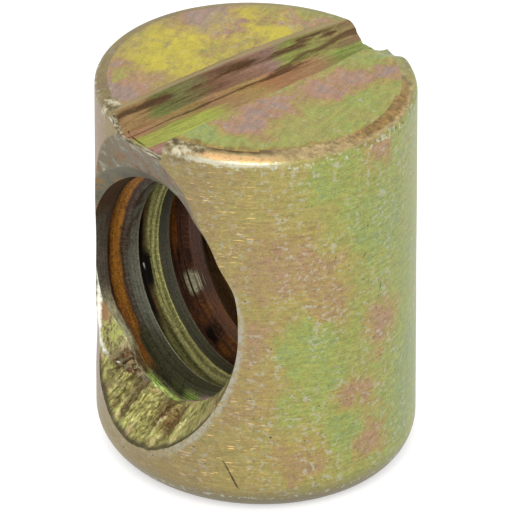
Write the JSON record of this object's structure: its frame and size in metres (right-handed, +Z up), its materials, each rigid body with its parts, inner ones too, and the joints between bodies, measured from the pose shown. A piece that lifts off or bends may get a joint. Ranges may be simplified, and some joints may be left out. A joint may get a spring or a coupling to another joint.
{
  "type": "barrel nut",
  "caption": "Steel barrel nut: a short round barrel with a threaded hole across it, countersunk at both mouths, and a screwdriver slot in one end.",
  "frame": {"origin": "on the barrel's axis, level with the lowest side of its base", "axes": "+Z up the barrel's axis towards the slotted end; the threaded hole runs along Y; both ends are sheared a little out of square, so the slotted end drops towards +X and the base rises towards -X"},
  "size_m": [0.01, 0.01, 0.0131],
  "materials": {
    "plated_steel": "zinc plate with an iridescent yellow chromate"
  },
  "bodies": {
    "root": {"barrel_nut": "plated_steel"}
  },
  "joints": []
}
